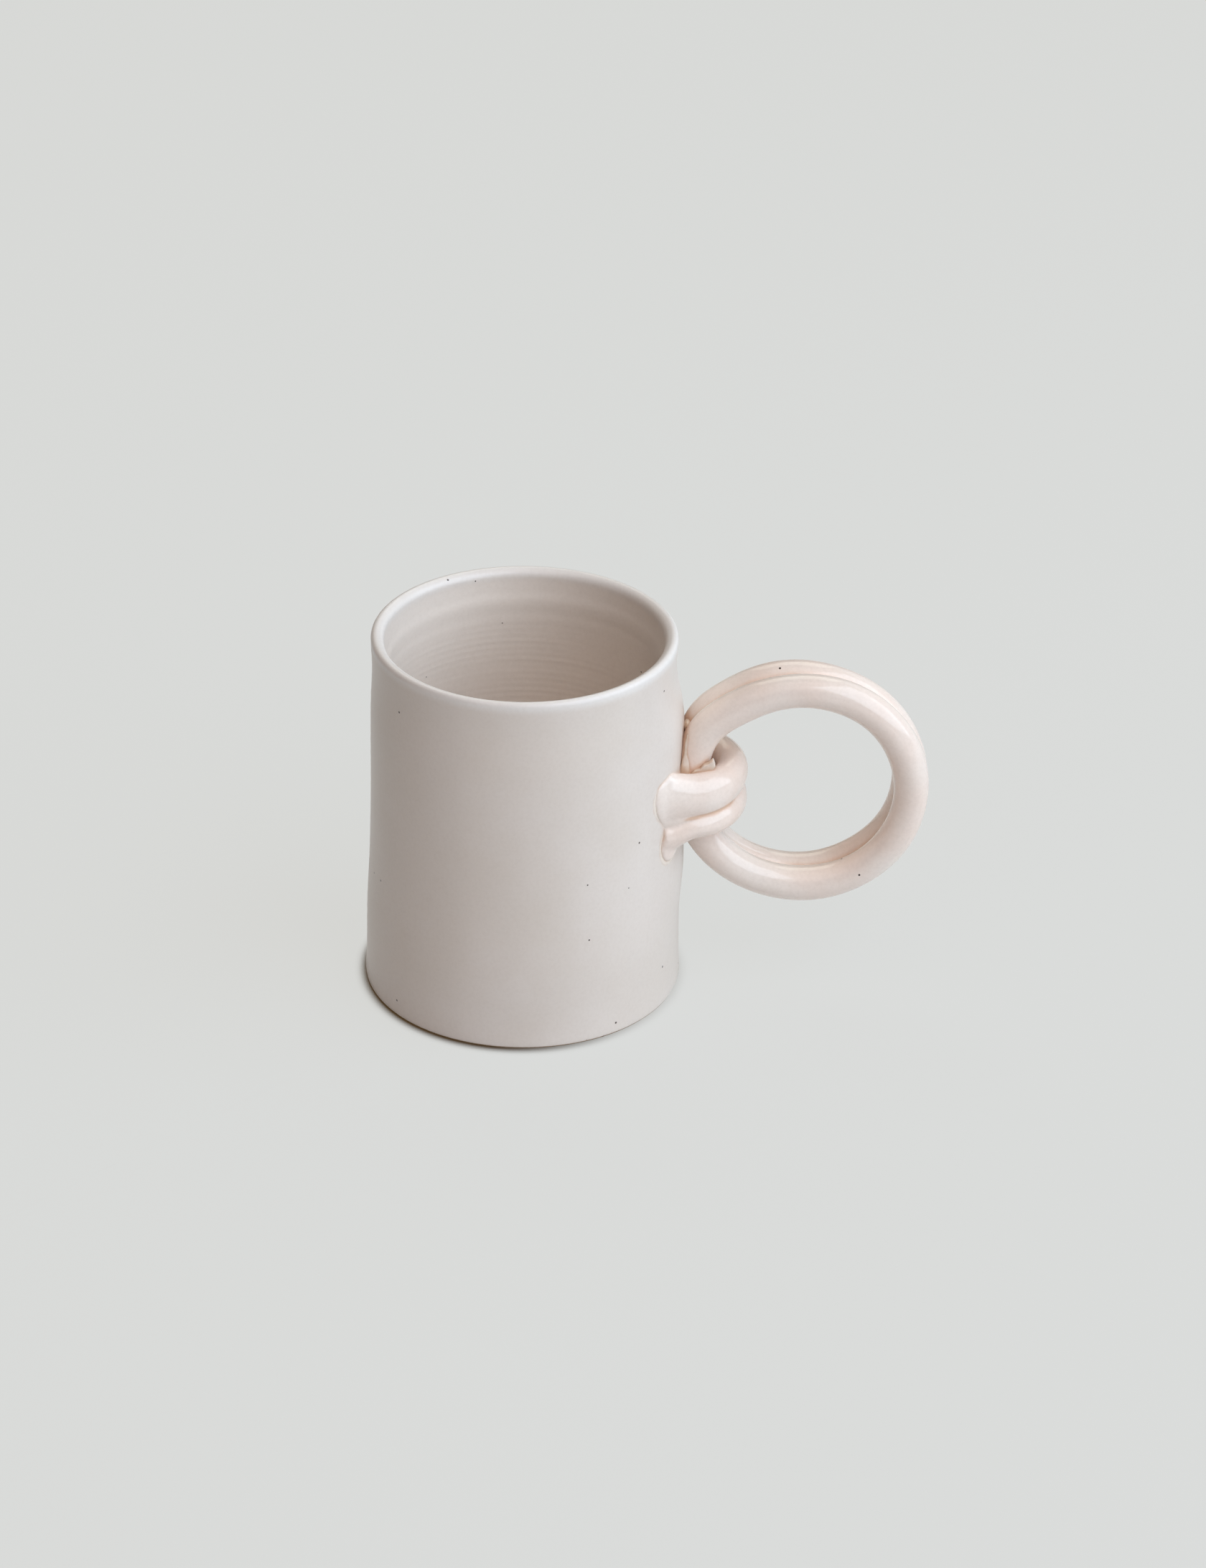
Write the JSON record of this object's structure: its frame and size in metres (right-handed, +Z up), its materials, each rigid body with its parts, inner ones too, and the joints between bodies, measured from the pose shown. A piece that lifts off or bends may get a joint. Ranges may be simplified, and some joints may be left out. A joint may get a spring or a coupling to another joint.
{
  "type": "ceramic mug",
  "caption": "Thrown stoneware mug with a tall, slightly waisted wall and a handle of coiled rings held to the wall by a looped wrap of coils.",
  "frame": {"origin": "centre of the mug's flat foot, on the axis of the thrown body", "axes": "+Z up along the axis of the thrown body, +X from that axis towards the handle, so the rings of the handle lie in planes parallel to XZ; +Y to the rear"},
  "size_m": [0.1492, 0.0848, 0.1016],
  "materials": {
    "body_glaze": "satin off-white glaze over speckled stoneware, foot wiped bare",
    "handle_glaze": "glossy thin off-white glaze, warm clay showing through",
    "slip_glaze": "glaze pooled and broken over luting slip, warm brown in the creases"
  },
  "bodies": {
    "root": {"thrown_body": "body_glaze", "ring_coil_front": "handle_glaze", "ring_coil_rear": "handle_glaze", "wrap_coil_upper": "handle_glaze", "wrap_coil_lower": "handle_glaze", "slip_ring_root": "slip_glaze", "slip_wrap_foot_front": "slip_glaze", "slip_wrap_foot_rear": "slip_glaze", "slip_ring_in_wrap": "slip_glaze"}
  },
  "joints": []
}
